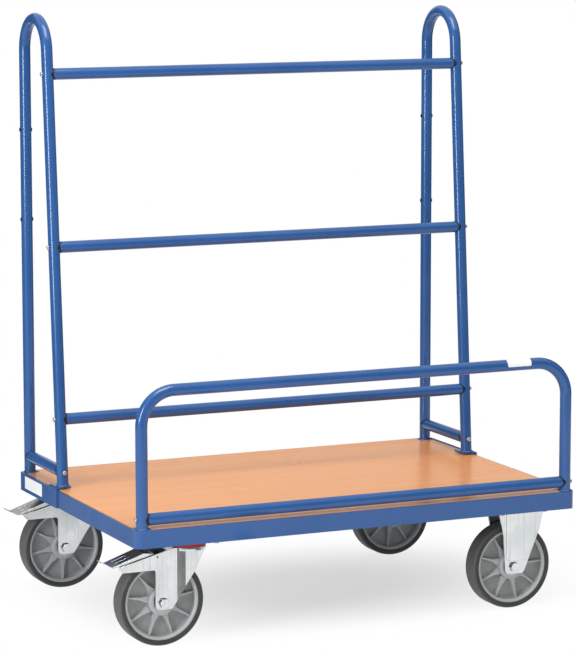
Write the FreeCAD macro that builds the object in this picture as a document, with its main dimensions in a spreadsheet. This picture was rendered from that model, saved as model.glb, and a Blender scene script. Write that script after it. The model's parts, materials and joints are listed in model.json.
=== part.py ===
import FreeCAD, Part
import math
import os

import Sketcher

Vector = FreeCAD.Vector
Rotation = FreeCAD.Rotation

doc = FreeCAD.newDocument("sheet_trolley")
sheet = doc.addObject("Spreadsheet::Sheet", "dims")


# Sizes: a number together with the sheet formula that drives it

class Size:
    def __init__(self, number, formula):
        self.number = number
        self.formula = formula

    def __add__(self, other):
        return Size(self.number + number_of(other), f"({self.formula} + {formula_of(other)})")

    def __sub__(self, other):
        return Size(self.number - number_of(other), f"({self.formula} - {formula_of(other)})")

    def __mul__(self, other):
        return Size(self.number * number_of(other), f"({self.formula} * {formula_of(other)})")

    def __truediv__(self, other):
        return Size(self.number / number_of(other), f"({self.formula} / {formula_of(other)})")

    def __radd__(self, other):
        return as_size(other) + self

    def __rsub__(self, other):
        return as_size(other) - self

    def __rmul__(self, other):
        return as_size(other) * self

    def __neg__(self):
        return self * -1


def number_of(value):
    return value.number if isinstance(value, Size) else float(value)


def formula_of(value):
    return value.formula if isinstance(value, Size) else f"({float(value)!r})"


def as_size(value):
    return value if isinstance(value, Size) else Size(float(value), formula_of(value))


def sine(angle):
    return Size(math.sin(math.radians(angle.number)), f"sin({angle.formula} * 1 deg)")


def cosine(angle):
    return Size(math.cos(math.radians(angle.number)), f"cos({angle.formula} * 1 deg)")


sheet_rows = []


def dimension(alias, number):
    sheet_rows.append(alias)
    row = len(sheet_rows)
    sheet.set(f"A{row}", alias)
    sheet.set(f"B{row}", str(number))
    sheet.setAlias(f"B{row}", alias)
    return Size(float(number), f"dims.{alias}")


# Driving dimensions in millimetres and degrees: the frame and its board

frame_length = dimension("frame_length", 1096)
frame_width = dimension("frame_width", 768)
rail_top = dimension("rail_top", 274.5)
rail_height = dimension("rail_height", 41)
rail_wall = dimension("rail_wall", 3)
corner_radius = dimension("corner_radius", 17)
ledge_width = dimension("ledge_width", 14)
corner_plate = dimension("corner_plate", 37)
ledge_thickness = dimension("ledge_thickness", 4)
board_thickness = dimension("board_thickness", 19)
board_rise = dimension("board_rise", 1)
board_clearance = dimension("board_clearance", 1)
board_notch = dimension("board_notch", 38.5)
bearer_wall = dimension("bearer_wall", 4)
bearer_flange = dimension("bearer_flange", 14)
middle_bearer_width = dimension("middle_bearer_width", 50)
middle_bearer_height = dimension("middle_bearer_height", 20)
deck_screw_diameter = dimension("deck_screw_diameter", 5)
deck_screw_depth = dimension("deck_screw_depth", 12)
deck_screw_spacing = dimension("deck_screw_spacing", 270)
weld_gap = dimension("weld_gap", 0.3)

# Driving dimensions: tubes, uprights, cross rails and hoop

tube_diameter = dimension("tube_diameter", 27)
tube_wall = dimension("tube_wall", 2)
bend_radius = dimension("bend_radius", 77)
upright_height = dimension("upright_height", 1376)
upright_lean = dimension("upright_lean", 4.25)
upright_end_inset = dimension("upright_end_inset", 18.2)
upright_rear_inset = dimension("upright_rear_inset", 22)
bracket_wall = dimension("bracket_wall", 4)
bracket_depth = dimension("bracket_depth", 50)
bracket_rise = dimension("bracket_rise", 2)
bracket_shift = dimension("bracket_shift", 10)
bracket_clearance = dimension("bracket_clearance", 2.5)
bracket_drop = dimension("bracket_drop", 1)
bracket_inner_reach = dimension("bracket_inner_reach", 15)
top_rail_drop = dimension("top_rail_drop", 138.5)
cross_rail_spacing = dimension("cross_rail_spacing", 400)
spreader_height = dimension("spreader_height", 314.5)
hoop_top_height = dimension("hoop_top_height", 579)
hoop_end_inset = dimension("hoop_end_inset", 20)
hoop_rail_height = dimension("hoop_rail_height", 295.5)
saddle_neck = dimension("saddle_neck", 4)
saddle_tip = dimension("saddle_tip", 4)
saddle_plug = dimension("saddle_plug", 20)
saddle_clearance = dimension("saddle_clearance", 0.15)
rail_screw_diameter = dimension("rail_screw_diameter", 6)
rail_screw_head = dimension("rail_screw_head", 10)
rail_screw_head_height = dimension("rail_screw_head_height", 3)
hole_clearance = dimension("hole_clearance", 0.4)
plug_hole_diameter = dimension("plug_hole_diameter", 7)
plug_head_diameter = dimension("plug_head_diameter", 10)
plug_head_height = dimension("plug_head_height", 1.2)
lower_plug_height = dimension("lower_plug_height", 885)
upper_plug_height = dimension("upper_plug_height", 1098)

# Driving dimensions: castors and wheels

castor_end_inset = dimension("castor_end_inset", 146)
fixed_end_inset = dimension("fixed_end_inset", 122)
castor_side_inset = dimension("castor_side_inset", 69)
castor_trail = dimension("castor_trail", 68)
fixed_trail = dimension("fixed_trail", 19)
plate_length = dimension("plate_length", 140)
plate_width = dimension("plate_width", 110)
plate_thickness = dimension("plate_thickness", 6)
plate_corner = dimension("plate_corner", 10)
plate_room = dimension("plate_room", 1)
bolt_spacing_length = dimension("bolt_spacing_length", 110)
bolt_spacing_width = dimension("bolt_spacing_width", 86)
bolt_diameter = dimension("bolt_diameter", 10)
bolt_head_diameter = dimension("bolt_head_diameter", 17)
bolt_head_height = dimension("bolt_head_height", 3)
bolt_nut_width = dimension("bolt_nut_width", 17)
bolt_nut_height = dimension("bolt_nut_height", 10)
bolt_tail = dimension("bolt_tail", 6)
swivel_height = dimension("swivel_height", 21)
race_height = dimension("race_height", 10)
race_diameter = dimension("race_diameter", 78)
head_diameter = dimension("head_diameter", 88)
head_skirt = dimension("head_skirt", 8)
dust_ring_diameter = dimension("dust_ring_diameter", 86)
dust_ring_bore = dimension("dust_ring_bore", 46)
king_pin_diameter = dimension("king_pin_diameter", 12)
king_nut_width = dimension("king_nut_width", 22)
king_nut_height = dimension("king_nut_height", 9)
running_gap = dimension("running_gap", 0.3)
pin_fit = dimension("pin_fit", 0.05)
seat_fit = dimension("seat_fit", 0.02)

fork_width = dimension("fork_width", 66)
fork_wall = dimension("fork_wall", 4)
fork_neck_width = dimension("fork_neck_width", 58)
fork_step_reach = dimension("fork_step_reach", 32)
fork_step_length = dimension("fork_step_length", 22)
fork_heel = dimension("fork_heel", 19)
fork_toe = dimension("fork_toe", 20)
fork_drop = dimension("fork_drop", 15.5)
fork_knee_reach = dimension("fork_knee_reach", 75.5)
fork_knee_height = dimension("fork_knee_height", 63.5)
fork_back_reach = dimension("fork_back_reach", 32)
arm_reach = dimension("arm_reach", 108)
arm_top_height = dimension("arm_top_height", 87.5)
arm_under_height = dimension("arm_under_height", 75.5)
fork_rounding = dimension("fork_rounding", 11)
fixed_heel = dimension("fixed_heel", 22)
fixed_toe = dimension("fixed_toe", 24.5)
fixed_drop = dimension("fixed_drop", 16.5)
fixed_waist_reach = dimension("fixed_waist_reach", 28.5)
fixed_waist_height = dimension("fixed_waist_height", 75)
fixed_knee_reach = dimension("fixed_knee_reach", 66)
fixed_knee_height = dimension("fixed_knee_height", 85)
fixed_top_front = dimension("fixed_top_front", 41.5)
fixed_top_rear = dimension("fixed_top_rear", 79.5)
fixed_panel_edge = dimension("fixed_panel_edge", 21)
fixed_panel_height = dimension("fixed_panel_height", 15)
fixed_panel_inset = dimension("fixed_panel_inset", 4)
fixed_panel_rise = dimension("fixed_panel_rise", 1)

wheel_diameter = dimension("wheel_diameter", 200)
tyre_thickness = dimension("tyre_thickness", 13)
tyre_width = dimension("tyre_width", 46)
tyre_shoulder = dimension("tyre_shoulder", 6)
tyre_heel = dimension("tyre_heel", 1.5)
rim_width = dimension("rim_width", 42)
rim_wall = dimension("rim_wall", 7)
web_thickness = dimension("web_thickness", 8)
hub_diameter = dimension("hub_diameter", 62)
hub_width = dimension("hub_width", 50)
rib_count = 9
PARKED_TURN = {"front_left": 0, "rear_left": 20, "front_right": -7.5, "rear_right": 13}
rib_root_width = dimension("rib_root_width", 26)
rib_waist_width = dimension("rib_waist_width", 13)
rib_tip_width = dimension("rib_tip_width", 9.5)
rib_waist_reach = dimension("rib_waist_reach", 47)
rib_flare = dimension("rib_flare", 28)
rib_height = dimension("rib_height", 9)
rib_draft = dimension("rib_draft", 16)
bearing_diameter = dimension("bearing_diameter", 47)
bearing_width = dimension("bearing_width", 14)
axle_diameter = dimension("axle_diameter", 12)
axle_head_width = dimension("axle_head_width", 19)
axle_head_height = dimension("axle_head_height", 7.5)

pedal_pivot_reach = dimension("pedal_pivot_reach", 14)
pedal_pivot_height = dimension("pedal_pivot_height", 105)
pedal_pin_diameter = dimension("pedal_pin_diameter", 6)
pedal_pin_bore = dimension("pedal_pin_bore", 4)
pedal_travel = dimension("pedal_travel", 10)
pedal_ear = dimension("pedal_ear", 4.8)
pedal_side_gap = dimension("pedal_side_gap", 0.8)
pedal_wall = dimension("pedal_wall", 2.5)
pedal_reach = dimension("pedal_reach", 140)
pedal_bend_reach = dimension("pedal_bend_reach", 118)
pedal_bend_height = dimension("pedal_bend_height", 89.5)
pedal_top_reach = dimension("pedal_top_reach", 45)
pedal_top_height = dimension("pedal_top_height", 115)
pedal_tab_rise = dimension("pedal_tab_rise", 11)
pedal_flange = dimension("pedal_flange", 14)
pedal_tab_width = dimension("pedal_tab_width", 24)
pedal_slot_length = dimension("pedal_slot_length", 34)
pedal_slot_width = dimension("pedal_slot_width", 5)
pedal_slot_offset = dimension("pedal_slot_offset", 10)
shoe_width = dimension("shoe_width", 38)
shoe_inner_reach = dimension("shoe_inner_reach", 46)
shoe_outer_reach = dimension("shoe_outer_reach", 72)
shoe_inner_height = dimension("shoe_inner_height", 94)
shoe_outer_height = dimension("shoe_outer_height", 82)
shoe_gap = dimension("shoe_gap", 0.75)

# Places worked out from the driving dimensions

middle = (castor_trail + pedal_reach - castor_end_inset - bracket_wall) / 2
half_length = frame_length / 2
half_width = frame_width / 2
tube_radius = tube_diameter / 2
rail_bottom = rail_top - rail_height
ledge_top = rail_top + board_rise - board_thickness
ledge_bottom = ledge_top - ledge_thickness
ledge_reach = rail_wall + ledge_width
castor_top = ledge_bottom - bearer_wall
plate_bottom = castor_top - plate_thickness
head_top = plate_bottom - swivel_height
axle_height = wheel_diameter / 2
castor_offset = half_length - castor_end_inset
fixed_offset = half_length - fixed_end_inset
wheel_offset = half_width - castor_side_inset
upright_offset = half_length - upright_end_inset
rear_leg = half_width - upright_rear_inset
hoop_offset = half_length - hoop_end_inset
hoop_front = rail_wall + tube_radius + weld_gap - half_width
tab_lift = board_rise + bracket_clearance
bracket_top = rail_top + tab_lift + bracket_wall
bend_height = upright_height - tube_radius - bend_radius
lean_slope = sine(upright_lean) / cosine(upright_lean)
top_rail_height = upright_height - top_rail_drop


def front_leg(height):
    """Y of the leaning front leg's axis at a height."""
    tangent_y = rear_leg - bend_radius - bend_radius * cosine(upright_lean)
    tangent_z = bend_height + bend_radius * sine(upright_lean)
    return tangent_y + (height - tangent_z) * lean_slope


# Drawing helpers

def bind(item, **sizes):
    for name, value in sizes.items():
        item.setExpression(name, formula_of(value))


def place(item, x, y, z, turn=None, lean=None):
    numbers = Vector(number_of(x), number_of(y), number_of(z))
    item.Placement = FreeCAD.Placement(numbers, turn or Rotation())
    if lean is not None:
        item.Placement = FreeCAD.Placement(numbers, Rotation(Vector(-1, 0, 0), lean.number))
        item.setExpression("Placement.Rotation.Angle", lean.formula)
    item.setExpression("Placement.Base.x", formula_of(x))
    item.setExpression("Placement.Base.y", formula_of(y))
    item.setExpression("Placement.Base.z", formula_of(z))
    return item


ALONG = {
    "X": Rotation(Vector(0, 1, 0), 90),
    "Y": Rotation(Vector(1, 0, 0), -90),
    "Z": Rotation(),
}


def cylinder(label, radius, length, x, y, z, along="Z"):
    item = doc.addObject("Part::Cylinder", label)
    bind(item, Radius=radius, Height=length)
    return place(item, x, y, z, ALONG[along])


def hexagon(label, width, length, x, y, z, along="Z"):
    item = doc.addObject("Part::Prism", label)
    item.Polygon = 6
    bind(item, Circumradius=width / math.sqrt(3), Height=length)
    return place(item, x, y, z, ALONG[along])


def cut(label, base, tool):
    item = doc.addObject("Part::Cut", label)
    item.Base = base
    item.Tool = tool
    return item


def common(label, base, tool):
    item = doc.addObject("Part::Common", label)
    item.Base = base
    item.Tool = tool
    return item


def fuse(label, pieces):
    item = doc.addObject("Part::MultiFuse", label)
    item.Shapes = pieces
    item.Refine = True
    return item


def group(label, pieces):
    item = doc.addObject("Part::Compound", label)
    item.Links = pieces
    return item


def new_body(label):
    return doc.addObject("PartDesign::Body", label)


def new_sketch(body, role, shift=None):
    sketch = body.newObject("Sketcher::SketchObject", f"{body.Name}_sketch")
    plane = next(item for item in body.Origin.OriginFeatures if item.Role == role)
    sketch.AttachmentSupport = [(plane, "")]
    sketch.MapMode = "FlatFace"
    if shift is not None:
        sketch.setExpression("AttachmentOffset.Base.z", formula_of(shift))
    return sketch


def fix_point(sketch, geometry, end, x, y):
    for kind, value in (("DistanceX", x), ("DistanceY", y)):
        index = sketch.addConstraint(
            Sketcher.Constraint(kind, -1, 1, geometry, end, number_of(value)))
        sketch.setExpression(f"Constraints[{index}]", formula_of(value))


def circle(sketch, x, y, radius):
    centre = Vector(number_of(x), number_of(y), 0)
    index = sketch.addGeometry(Part.Circle(centre, Vector(0, 0, 1), number_of(radius)))
    fix_point(sketch, index, 3, x, y)
    constraint = sketch.addConstraint(Sketcher.Constraint("Radius", index, number_of(radius)))
    sketch.setExpression(f"Constraints[{constraint}]", formula_of(radius))


def outline(sketch, corners):
    """Closed line through corners (x, y) or (x, y, rounding radius)."""
    points = [Vector(number_of(corner[0]), number_of(corner[1]), 0) for corner in corners]
    radii = [number_of(corner[2]) if len(corner) > 2 else 0 for corner in corners]
    count = len(corners)
    starts, ends, arcs = [], [], []
    for index in range(count):
        corner = points[index]
        before = (points[index - 1] - corner).normalize()
        after = (points[(index + 1) % count] - corner).normalize()
        half_angle = before.getAngle(after) / 2
        setback = radii[index] / math.tan(half_angle) if radii[index] else 0
        ends.append(corner + before * setback)
        starts.append(corner + after * setback)
        arcs.append(corner + (before + after).normalize() * (radii[index] / math.sin(half_angle)))
    lines = []
    for index in range(count):
        following = (index + 1) % count
        lines.append(sketch.addGeometry(Part.LineSegment(starts[index], ends[following])))
    for index in range(count):
        before, after = lines[index - 1], lines[index]
        if not radii[index]:
            sketch.addConstraint(Sketcher.Constraint("Coincident", before, 2, after, 1))
            fix_point(sketch, after, 1, corners[index][0], corners[index][1])
            continue
        centre = arcs[index]
        middle_point = centre + (points[index] - centre).normalize() * radii[index]
        arc_shape = Part.Arc(ends[index], middle_point, starts[index])
        arc = sketch.addGeometry(arc_shape)
        turned = sketch.getPoint(arc, 1).distanceToPoint(ends[index]) > 1e-6
        first, last = (2, 1) if turned else (1, 2)
        apex = sketch.addGeometry(Part.Point(points[index]))
        sketch.toggleConstruction(apex)
        sketch.addConstraint(Sketcher.Constraint("Tangent", before, 2, arc, first))
        sketch.addConstraint(Sketcher.Constraint("Tangent", arc, last, after, 1))
        sketch.addConstraint(Sketcher.Constraint("PointOnObject", apex, 1, before))
        sketch.addConstraint(Sketcher.Constraint("PointOnObject", apex, 1, after))
        fix_point(sketch, apex, 1, corners[index][0], corners[index][1])
        rounding = sketch.addConstraint(Sketcher.Constraint("Radius", arc, radii[index]))
        sketch.setExpression(f"Constraints[{rounding}]", formula_of(corners[index][2]))


def rectangle(sketch, low_x, low_y, high_x, high_y, rounding=None):
    corners = [(low_x, low_y), (high_x, low_y), (high_x, high_y), (low_x, high_y)]
    outline(sketch, [corner + ((rounding,) if rounding else ()) for corner in corners])


def pad(body, sketch, length, centred=False, reverse=False, draft=None):
    """Raise a sketch; a draft narrows it by that angle as it rises."""
    feature = body.newObject("PartDesign::Pad", f"{body.Name}_pad")
    feature.Profile = sketch
    feature.Midplane = centred
    feature.Reversed = reverse
    bind(feature, Length=length)
    if draft is not None:
        bind(feature, TaperAngle=-draft)
    doc.recompute()
    return feature


def pocket(body, sketch, length=None, centred=False, reverse=False):
    """Cut of a given depth, or right through to both sides where no depth is given."""
    volume = body.Shape.Volume
    feature = body.newObject("PartDesign::Pocket", f"{body.Name}_pocket")
    feature.Profile = sketch
    if length is None:
        feature.Type = "ThroughAll"
        feature.Midplane = True
    else:
        feature.Midplane = centred
        feature.Reversed = reverse
        bind(feature, Length=length)
    doc.recompute()
    if not body.Shape.Volume < volume:
        raise RuntimeError(f"{body.Label}: a pocket cuts nothing")
    return feature


def revolve(body, sketch):
    feature = body.newObject("PartDesign::Revolution", f"{body.Name}_revolution")
    feature.Profile = sketch
    feature.ReferenceAxis = (sketch, ["V_Axis"])
    feature.Angle = 360
    doc.recompute()
    return feature


def pipe(body, profile, spine):
    feature = body.newObject("PartDesign::AdditivePipe", f"{body.Name}_pipe")
    feature.Profile = profile
    feature.Spine = spine
    doc.recompute()
    return feature


def polar(body, features, count, role):
    pattern = body.newObject("PartDesign::PolarPattern", f"{body.Name}_pattern")
    axis = next(item for item in body.Origin.OriginFeatures if item.Role == role)
    pattern.Originals = features
    pattern.Axis = (axis, [""])
    pattern.Angle = 360
    pattern.Occurrences = count
    body.Tip = pattern
    doc.recompute()
    return pattern


nodes = []


def keep(item):
    nodes.append(item)
    return item


# Edge rails of the frame

def end_rail_long(label, facing):
    """Front or rear rail: rounded corners, top corner plates for the tubes, a ledge for the board."""
    body = new_body(label)
    inner = half_length - rail_wall
    web = new_sketch(body, "XY_Plane")
    inner_radius = corner_radius - rail_wall
    outline(web, [
        (-half_length, 0, corner_radius), (half_length, 0, corner_radius),
        (half_length, corner_plate), (inner, corner_plate),
        (inner, rail_wall, inner_radius), (-inner, rail_wall, inner_radius),
        (-inner, corner_plate), (-half_length, corner_plate),
    ])
    pad(body, web, rail_height)
    seat = rail_wall / 2
    edge = half_length - seat
    plate_edge = half_length - corner_plate
    shelf = new_sketch(body, "XY_Plane", ledge_bottom - rail_bottom)
    rectangle(shelf, -plate_edge, seat, plate_edge, ledge_reach)
    pad(body, shelf, ledge_thickness)
    corners = new_sketch(body, "XY_Plane", rail_height - ledge_thickness)
    for end in (-1, 1):
        outline(corners, [
            (edge * end, seat, corner_radius - seat), (edge * end, corner_plate),
            (plate_edge * end, corner_plate), (plate_edge * end, seat),
        ])
    pad(body, corners, ledge_thickness)
    holes = new_sketch(body, "XY_Plane")
    for place_x in (-1, 0, 1):
        circle(holes, deck_screw_spacing * place_x, rail_wall + ledge_width / 2,
               (deck_screw_diameter + hole_clearance) / 2)
    pocket(body, holes, rail_height, reverse=True)
    turn = Rotation() if facing < 0 else Rotation(Vector(0, 0, 1), 180)
    return keep(place(body, middle, half_width * facing, rail_bottom, turn))


def side_rail(label, side):
    """Left or right rail between the corner returns."""
    body = new_body(label)
    section = new_sketch(body, "XZ_Plane")
    under = ledge_bottom - rail_bottom
    above = ledge_top - rail_bottom
    outline(section, [
        (0, 0), (rail_wall, 0), (rail_wall, under), (ledge_reach, under),
        (ledge_reach, above), (rail_wall, above), (rail_wall, rail_height), (0, rail_height),
    ])
    pad(body, section, frame_width - corner_plate * 2, centred=True)
    turn = Rotation() if side < 0 else Rotation(Vector(0, 0, 1), 180)
    return keep(place(body, middle + half_length * side, 0, rail_bottom, turn))


# Bearers, board and its screws

def castor_bearer(label, x):
    """Channel across the frame that carries two castor plates."""
    body = new_body(label)
    inside = plate_length / 2 + plate_room
    outside = inside + bearer_wall
    depth = bearer_wall + bearer_flange
    section = new_sketch(body, "XZ_Plane")
    outline(section, [
        (-outside, 0), (outside, 0), (outside, -depth), (inside, -depth),
        (inside, -bearer_wall), (-inside, -bearer_wall), (-inside, -depth), (-outside, -depth),
    ])
    pad(body, section, frame_width - rail_wall * 2 - weld_gap * 2, centred=True)
    holes = new_sketch(body, "XY_Plane")
    for facing in (-1, 1):
        for step_x in (-1, 1):
            for step_y in (-1, 1):
                circle(holes, bolt_spacing_length * step_x / 2,
                       wheel_offset * facing + bolt_spacing_width * step_y / 2,
                       (bolt_diameter + hole_clearance) / 2)
    pocket(body, holes, bearer_wall)
    return keep(place(body, x, 0, ledge_bottom))


def middle_bearer():
    body = new_body("middle_bearer")
    outside = middle_bearer_width / 2
    inside = outside - bearer_wall
    section = new_sketch(body, "XZ_Plane")
    outline(section, [
        (-outside, 0, bearer_wall), (outside, 0, bearer_wall), (outside, -middle_bearer_height),
        (inside, -middle_bearer_height), (inside, -bearer_wall), (-inside, -bearer_wall),
        (-inside, -middle_bearer_height), (-outside, -middle_bearer_height),
    ])
    pad(body, section, frame_width - ledge_reach * 2, centred=True)
    return keep(place(body, middle, 0, ledge_top))


def deck_board():
    """Board that stands a little above the rails, cut out at the corners."""
    body = new_body("deck_board")
    far_x = half_length - rail_wall - board_clearance
    far_y = half_width - rail_wall - board_clearance
    step_x = half_length - board_notch
    step_y = half_width - board_notch
    plan = new_sketch(body, "XY_Plane")
    outline(plan, [
        (-step_x, -far_y), (step_x, -far_y), (step_x, -step_y), (far_x, -step_y),
        (far_x, step_y), (step_x, step_y), (step_x, far_y), (-step_x, far_y),
        (-step_x, step_y), (-far_x, step_y), (-far_x, -step_y), (-step_x, -step_y),
    ])
    pad(body, plan, board_thickness)
    holes = new_sketch(body, "XY_Plane")
    for facing in (-1, 1):
        for place_x in (-1, 0, 1):
            circle(holes, deck_screw_spacing * place_x,
                   (half_width - rail_wall - ledge_width / 2) * facing,
                   deck_screw_diameter / 2 + seat_fit)
    pocket(body, holes, deck_screw_depth, reverse=True)
    return keep(place(body, middle, 0, ledge_top))


def deck_screws():
    screws = []
    head_height = deck_screw_diameter / 2
    for facing in (-1, 1):
        for place_x in (-1, 0, 1):
            x = middle + deck_screw_spacing * place_x
            y = (half_width - rail_wall - ledge_width / 2) * facing
            head = cylinder("deck_screw_head", deck_screw_diameter, head_height,
                            x, y, ledge_bottom - head_height)
            shank = cylinder("deck_screw_shank", deck_screw_diameter / 2,
                             ledge_thickness + deck_screw_depth - hole_clearance, x, y, ledge_bottom)
            screws.append(fuse("deck_screw", [head, shank]))
    return keep(group("deck_screws", screws))


# Uprights, brackets and hoop: bent tube

def tube_profile(sketch):
    circle(sketch, 0, 0, tube_radius)
    circle(sketch, 0, 0, tube_radius - tube_wall)


def upright(label, side):
    """Hairpin of tube: a plumb rear leg, a tight top bend and a leaning front leg."""
    body = new_body(label)
    bend_z = bend_height - rail_top
    foot_y = front_leg(rail_top) - rear_leg
    profile = new_sketch(body, "XY_Plane")
    tube_profile(profile)
    spine = new_sketch(body, "YZ_Plane")
    radius = bend_radius.number
    lean = math.radians(upright_lean.number)
    tangent = Vector(-radius - radius * math.cos(lean), bend_z.number + radius * math.sin(lean), 0)
    top = Vector(-radius, bend_z.number + radius, 0)
    bend_start = Vector(0, bend_z.number, 0)
    rear = spine.addGeometry(Part.LineSegment(Vector(0, 0, 0), bend_start))
    bend = spine.addGeometry(Part.Arc(bend_start, top, tangent))
    front = spine.addGeometry(Part.LineSegment(tangent, Vector(foot_y.number, 0, 0)))
    fix_point(spine, rear, 1, 0, 0)
    fix_point(spine, rear, 2, 0, bend_z)
    fix_point(spine, bend, 3, -bend_radius, bend_z)
    spine.addConstraint(Sketcher.Constraint("Coincident", rear, 2, bend, 1))
    spine.addConstraint(Sketcher.Constraint("Tangent", bend, 2, front, 1))
    fix_point(spine, front, 2, foot_y, 0)
    pipe(body, profile, spine)
    foot = new_sketch(body, "YZ_Plane")
    rectangle(foot, foot_y - tube_diameter, -tube_diameter, foot_y + tube_diameter, tab_lift + bracket_wall)
    pocket(body, foot)
    drilled = new_sketch(body, "YZ_Plane")
    for rail in range(3):
        height = top_rail_height - cross_rail_spacing * rail
        circle(drilled, front_leg(height) - rear_leg, height - rail_top,
               (rail_screw_diameter + hole_clearance) / 2)
    for height in (lower_plug_height, upper_plug_height):
        circle(drilled, 0, height - rail_top, plug_hole_diameter / 2)
    pocket(body, drilled)
    braced = new_sketch(body, "XZ_Plane")
    circle(braced, 0, spreader_height - rail_top, (rail_screw_diameter + hole_clearance) / 2)
    pocket(body, braced)
    return keep(place(body, middle + upright_offset * side, rear_leg, rail_top))


def foot_bracket(label, side):
    """Plate on the rail's outer face from the rear corner, with a tab over the board for the front foot."""
    body = new_body(label)
    tab_y = front_leg(bracket_top) + bracket_shift
    section = new_sketch(body, "XZ_Plane")
    inner_end = upright_end_inset + bracket_inner_reach
    low = -rail_height - bracket_drop
    outline(section, [
        (-bracket_wall, low), (0, low), (0, tab_lift), (inner_end, tab_lift),
        (inner_end, tab_lift + bracket_wall), (-bracket_wall, tab_lift + bracket_wall, bracket_wall),
    ])
    pad(body, section, bracket_depth, centred=True)
    flange = new_sketch(body, "YZ_Plane", -bracket_wall)
    near = bracket_depth / 2 * -side
    far = (half_width - corner_radius - tab_y) * -side
    outline(flange, [(near, low), (far, low), (far, bracket_rise), (near, bracket_rise)])
    pad(body, flange, bracket_wall)
    turn = Rotation() if side < 0 else Rotation(Vector(0, 0, 1), 180)
    return keep(place(body, middle + half_length * side, tab_y, rail_top, turn))


def front_hoop():
    """Low bent bar that keeps the sheets on the board."""
    body = new_body("front_hoop")
    bend_z = hoop_top_height - bend_radius - rail_top
    top_z = hoop_top_height - rail_top
    width = hoop_offset * 2
    radius = bend_radius.number
    profile = new_sketch(body, "XY_Plane")
    tube_profile(profile)
    spine = new_sketch(body, "XZ_Plane")
    low, high, far = bend_z.number, top_z.number, width.number
    corner = radius * (1 - math.sqrt(0.5))
    left = spine.addGeometry(Part.LineSegment(Vector(0, 0, 0), Vector(0, low, 0)))
    left_bend = spine.addGeometry(
        Part.Arc(Vector(0, low, 0), Vector(corner, high - corner, 0), Vector(radius, high, 0)))
    bar = spine.addGeometry(Part.LineSegment(Vector(radius, high, 0), Vector(far - radius, high, 0)))
    bend_middle = Vector(far - corner, high - corner, 0)
    right_bend = spine.addGeometry(Part.Arc(Vector(far - radius, high, 0), bend_middle, Vector(far, low, 0)))
    right = spine.addGeometry(Part.LineSegment(Vector(far, low, 0), Vector(far, 0, 0)))
    fix_point(spine, left, 1, 0, 0)
    fix_point(spine, left, 2, 0, bend_z)
    fix_point(spine, bar, 1, bend_radius, top_z)
    fix_point(spine, bar, 2, width - bend_radius, top_z)
    fix_point(spine, right, 1, width, bend_z)
    fix_point(spine, right, 2, width, 0)
    for bend, first, second in ((left_bend, left, bar), (right_bend, bar, right)):
        start = 1 if spine.getPoint(bend, 1).distanceToPoint(spine.getPoint(first, 2)) < 1e-6 else 2
        spine.addConstraint(Sketcher.Constraint("Coincident", first, 2, bend, start))
        spine.addConstraint(Sketcher.Constraint("Coincident", bend, 3 - start, second, 1))
        radius_index = spine.addConstraint(Sketcher.Constraint("Radius", bend, radius))
        spine.setExpression(f"Constraints[{radius_index}]", bend_radius.formula)
    pipe(body, profile, spine)
    drilled = new_sketch(body, "YZ_Plane")
    circle(drilled, 0, hoop_rail_height - rail_top, (rail_screw_diameter + hole_clearance) / 2)
    pocket(body, drilled, width * 3, centred=True)
    return keep(place(body, middle - hoop_offset, hoop_front, rail_top))


# Straight tubes with their saddles and screws

saddles = []
rail_screws = []


def leg_sleeve(radius, x, y, z, lean=None):
    """Cylinder about a leg's axis, to shape what meets the leg."""
    reach = tube_diameter
    item = doc.addObject("Part::Cylinder", "leg_sleeve")
    bind(item, Radius=radius, Height=reach * 2)
    if lean is None:
        return place(item, x, y, z - reach)
    return place(item, x, y - reach * sine(lean), z - reach * cosine(lean), lean=lean)


def saddle(x, y, z, along, sense, lean=None):
    """Plug and hollowed neck that joins a straight tube to the leg whose axis is at x, y, z."""
    def shifted(distance, length):
        start = distance if sense > 0 else -(distance + length)
        return (x + start, y, z) if along == "X" else (x, y + start, z)

    neck_end = tube_radius + saddle_neck
    neck_length = neck_end - saddle_tip
    whole = neck_length + saddle_plug
    neck = cylinder("saddle_neck_piece", tube_radius, neck_length, *shifted(saddle_tip, neck_length), along)
    rounded_neck = common("saddle_neck", neck, leg_sleeve(neck_end - saddle_clearance, x, y, z, lean))
    plug_radius = tube_radius - tube_wall - saddle_clearance
    plug = cylinder("saddle_plug_piece", plug_radius, whole, *shifted(saddle_tip, whole), along)
    bore_radius = rail_screw_diameter / 2 + pin_fit
    bore = cylinder("saddle_bore", bore_radius, whole, *shifted(saddle_tip, whole), along)
    removed = fuse("saddle_cuts", [leg_sleeve(tube_radius + saddle_clearance, x, y, z, lean), bore])
    saddles.append(cut("rail_saddle", fuse("saddle_solid", [rounded_neck, plug]), removed))
    head_seat = tube_radius + running_gap
    if along == "Y" and lean:
        head_seat = head_seat + rail_screw_head / 2 * lean_slope
    head = cylinder("rail_screw_head_piece", rail_screw_head / 2, rail_screw_head_height,
                    *shifted(-(head_seat + rail_screw_head_height), rail_screw_head_height), along)
    shank_length = head_seat + neck_end + saddle_plug - saddle_clearance
    shank = cylinder("rail_screw_shank", rail_screw_diameter / 2, shank_length,
                     *shifted(-head_seat, shank_length), along)
    rail_screws.append(fuse("rail_screw", [head, shank]))


def straight_tube(label, length, x, y, z, along, sleeves):
    """Tube between two leg axes, its ends hollowed around the legs."""
    outside = cylinder(f"{label}_outside", tube_radius, length, x, y, z, along)
    inside = cylinder(f"{label}_bore", tube_radius - tube_wall, length, x, y, z, along)
    return keep(cut(label, outside, fuse(f"{label}_cuts", [inside] + sleeves)))


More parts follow.
